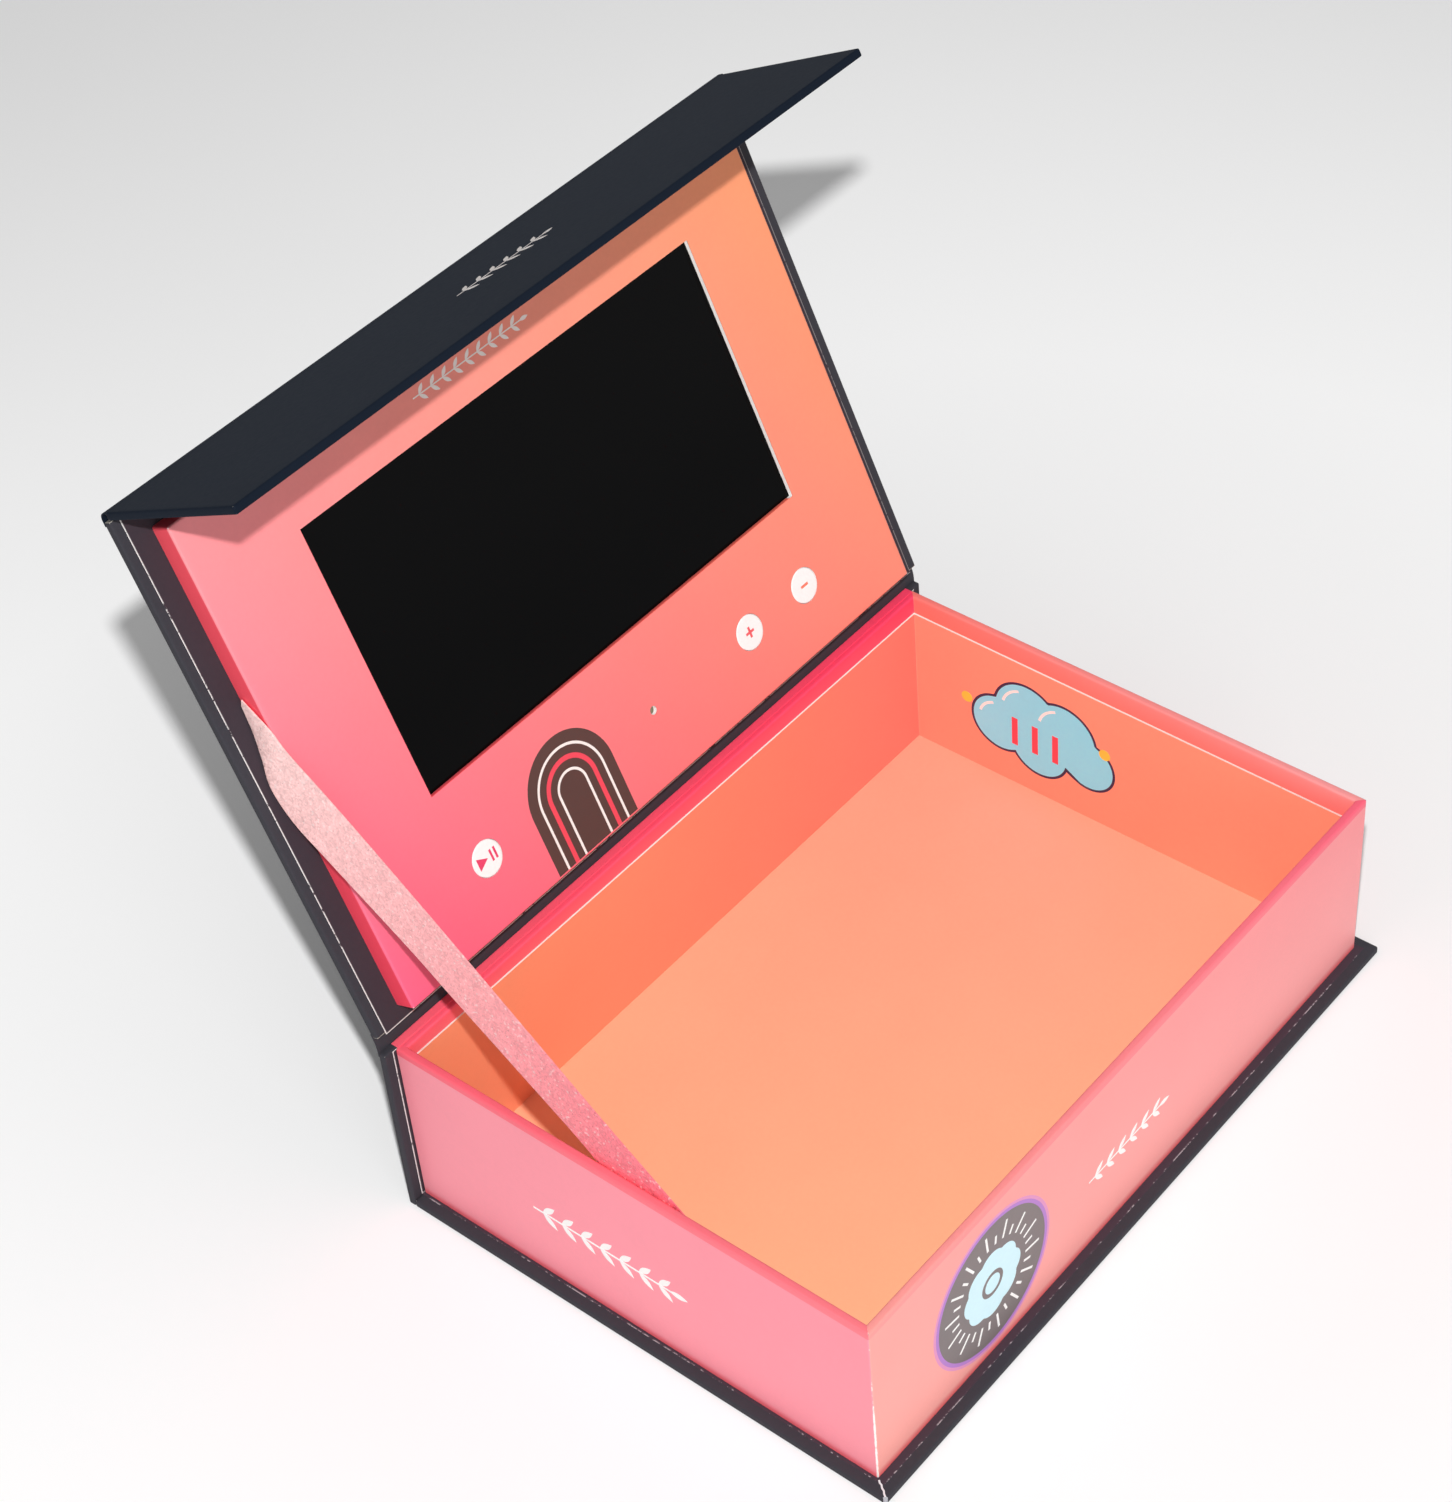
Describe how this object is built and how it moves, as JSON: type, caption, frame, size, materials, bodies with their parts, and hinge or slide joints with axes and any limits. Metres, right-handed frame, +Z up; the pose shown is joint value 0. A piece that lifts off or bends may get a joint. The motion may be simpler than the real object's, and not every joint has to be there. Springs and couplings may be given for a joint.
{
  "type": "lcd video brochure",
  "caption": "Rigid book-style box with a video screen, push buttons and a charging port in its hinged lid, a ribbon stay and a magnetic closing flap.",
  "frame": {"origin": "on the underside of the base board, below the centre of the tray", "axes": "+X along the lid hinge, from left to right as seen from the front; +Y to the rear, towards the hinge; +Z up"},
  "size_m": [0.238, 0.2325, 0.2455],
  "materials": {
    "case_board": "matte",
    "case_wrap": "satin",
    "case_liner": "satin",
    "tray_board": "matte",
    "tray_wrap": "matte",
    "tray_liner": "matte",
    "magnet": "satin",
    "frame_foam": "matte",
    "panel_card": "matte",
    "housing_wrap": "matte",
    "screen_glass": "gloss",
    "screen_backlight": "satin",
    "foam_pad": "matte",
    "flex_film": "satin",
    "circuit_board": "satin",
    "chip": "matte",
    "switch": "satin",
    "sensor": "gloss",
    "port_steel": "satin",
    "battery_pouch": "satin",
    "lead": "satin",
    "speaker": "satin",
    "ribbon": "satin",
    "button": "satin"
  },
  "bodies": {
    "base": {"base_board": "case_board", "base_wrap": "case_wrap", "base_liner": "case_liner", "spine_board": "case_board", "spine_wrap": "case_wrap", "tray_floor": "tray_board", "tray_wall_left": "tray_board", "tray_wall_right": "tray_board", "tray_wall_front": "tray_board", "tray_wall_rear": "tray_board", "tray_wrap": "tray_wrap", "tray_wall_liner": "tray_liner", "tray_floor_liner": "tray_liner", "tray_magnets": "magnet", "lid_hinge_strip": "case_wrap", "ribbon": "ribbon"},
    "lid": {"lid_board": "case_board", "lid_wrap": "case_wrap", "lid_liner": "case_liner", "housing_frame": "frame_foam", "housing_panel": "panel_card", "housing_wrap": "housing_wrap", "screen_glass": "screen_glass", "screen_backlight": "screen_backlight", "screen_pad": "foam_pad", "screen_flex": "flex_film", "main_board": "circuit_board", "board_chips": "chip", "switch_set": "switch", "light_sensor": "sensor", "usb_port": "port_steel", "battery": "battery_pouch", "battery_leads": "lead", "speaker": "speaker", "speaker_leads": "lead", "flap_hinge_strip": "case_wrap"},
    "flap": {"flap_board": "case_board", "flap_wrap": "case_wrap", "flap_liner": "case_liner", "flap_magnets": "magnet"},
    "play_button": {"play_button": "button"},
    "plus_button": {"plus_button": "button"},
    "minus_button": {"minus_button": "button"}
  },
  "joints": [
    {"name": "lid_hinge", "type": "hinge", "parent": "base", "child": "lid", "pos_m": [0, 0.0825, 0.0653], "axis": [1, 0, 0], "range_deg": [0, 112.8], "deforming": ["lid_hinge_strip", "ribbon"]},
    {"name": "flap_hinge", "type": "hinge", "parent": "lid", "child": "flap", "pos_m": [0, 0.14702, 0.21879], "axis": [1, 0, 0], "range_deg": [-176.4, 3.6], "deforming": ["flap_hinge_strip"]},
    {"name": "play_press", "type": "slide", "parent": "lid", "child": "play_button", "axis": [0, 0.9219, -0.3875], "range_m": [0, 0.0005], "stiffness_N_per_m": 60, "springref_m": -0.0005},
    {"name": "plus_press", "type": "slide", "parent": "lid", "child": "plus_button", "axis": [0, 0.9219, -0.3875], "range_m": [0, 0.0005], "stiffness_N_per_m": 60, "springref_m": -0.0005},
    {"name": "minus_press", "type": "slide", "parent": "lid", "child": "minus_button", "axis": [0, 0.9219, -0.3875], "range_m": [0, 0.0005], "stiffness_N_per_m": 60, "springref_m": -0.0005}
  ]
}
